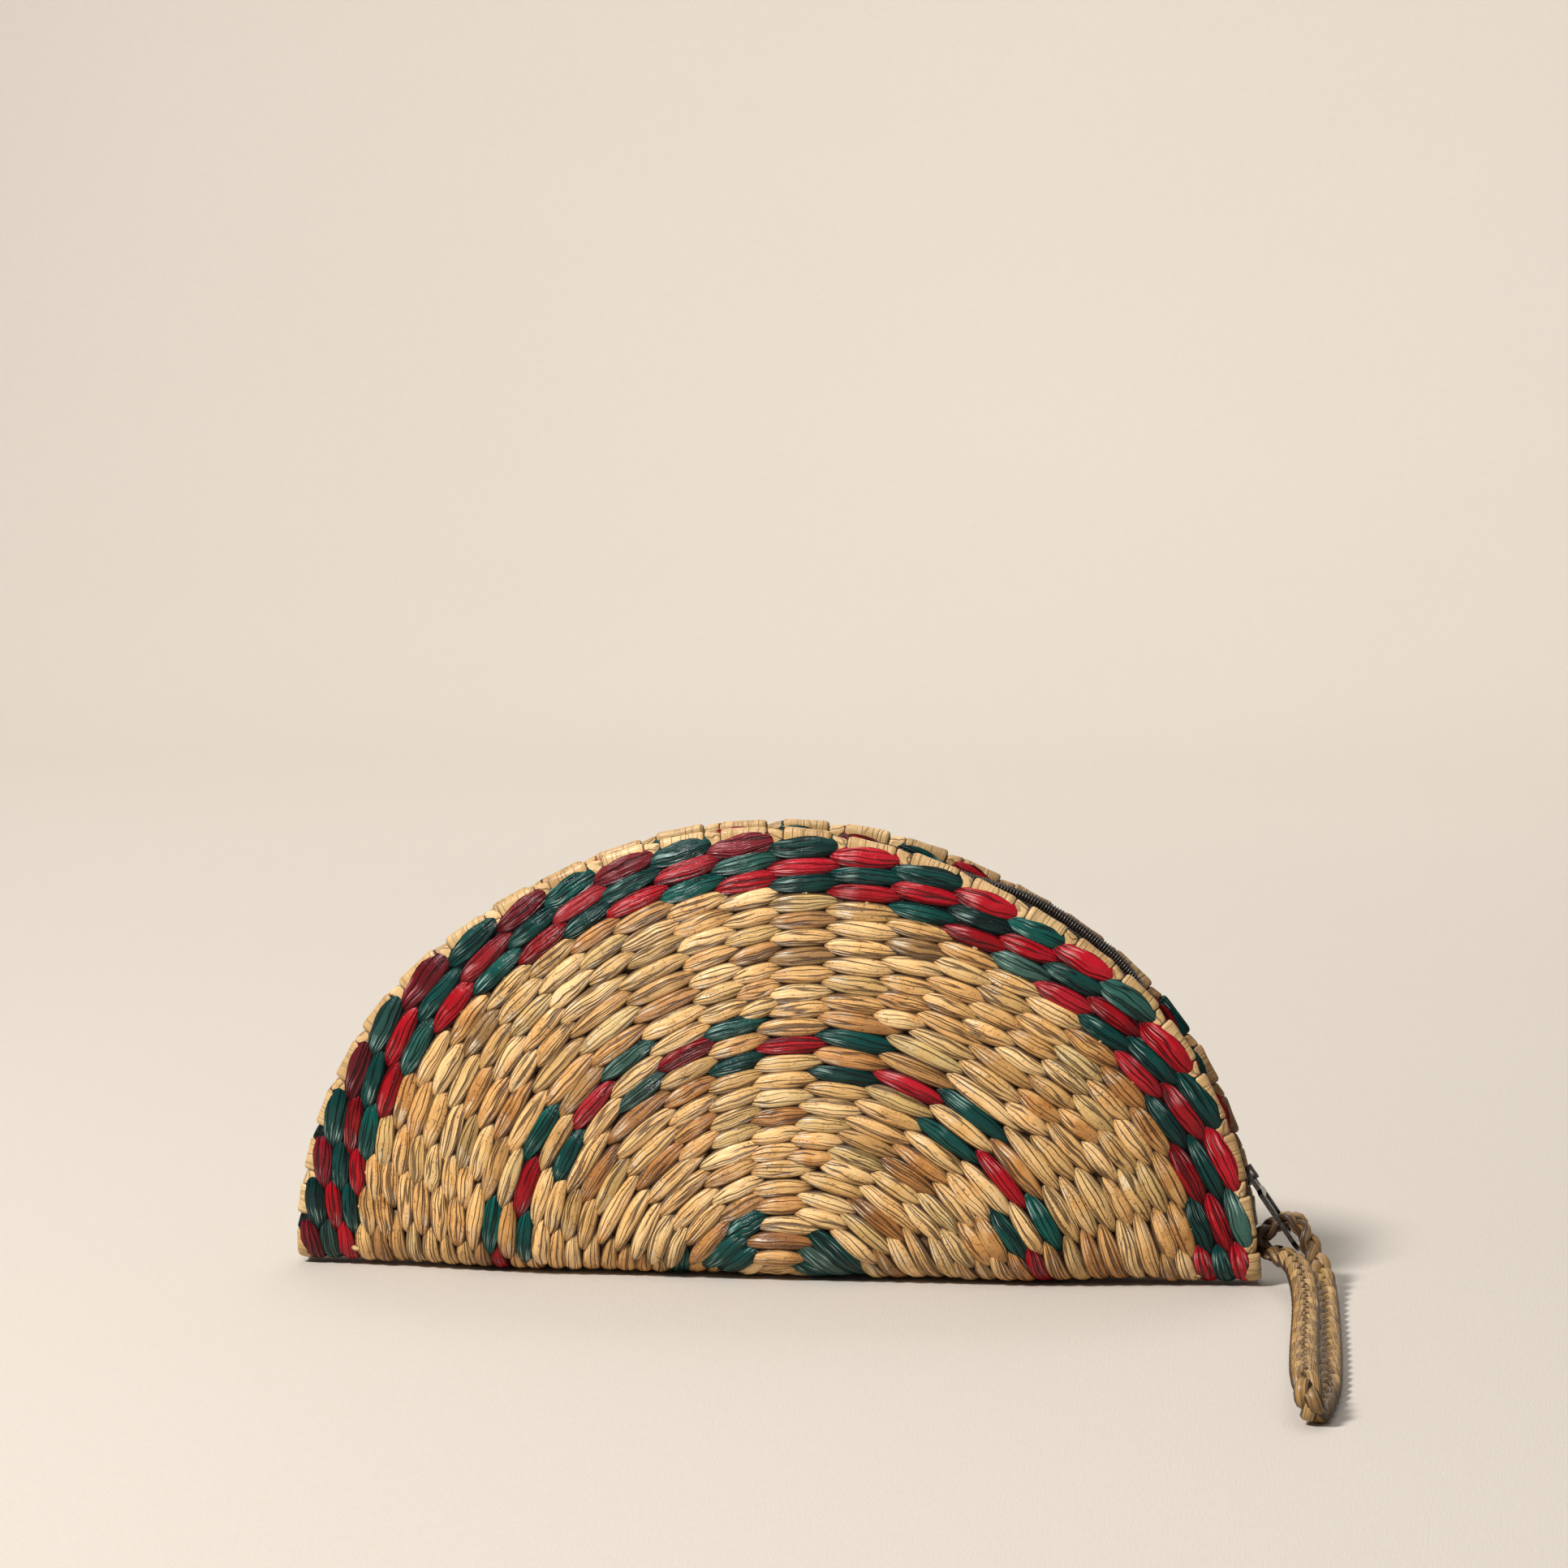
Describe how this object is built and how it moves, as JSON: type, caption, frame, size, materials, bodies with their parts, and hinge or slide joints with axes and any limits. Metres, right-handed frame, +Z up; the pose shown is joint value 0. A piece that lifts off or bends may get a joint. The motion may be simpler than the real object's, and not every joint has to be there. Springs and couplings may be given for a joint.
{
  "type": "half-moon clutch bag of twined water hyacinth",
  "caption": "Half-moon clutch folded from a round disc of twined dried stalks, with a zip along its arched rim and a plaited pull loop.",
  "frame": {"origin": "centre of the flat underside of the fold", "axes": "+X along the fold towards the slider's end, -Y towards the front panel, +Z up"},
  "size_m": [0.3239, 0.2104, 0.1397],
  "materials": {
    "hyacinth": "dried golden stalks, satin, with dyed crimson and bottle-green rows",
    "rim_stalk": "dried pale tan stalks, satin",
    "zip_tape": "matte dark brown woven tape",
    "zip_coil": "black nylon, slightly glossy",
    "gunmetal": "polished dark gunmetal plating",
    "plait": "dried olive-brown stalks, satin"
  },
  "bodies": {
    "root": {"woven_shell": "hyacinth", "rim_binding": "rim_stalk", "zip_tape_front": "zip_tape", "zip_tape_back": "zip_tape", "zip_coil_front": "zip_coil", "zip_coil_back": "zip_coil", "zip_slider": "gunmetal", "zip_pull_tab": "gunmetal", "pull_loop": "plait"}
  },
  "joints": []
}
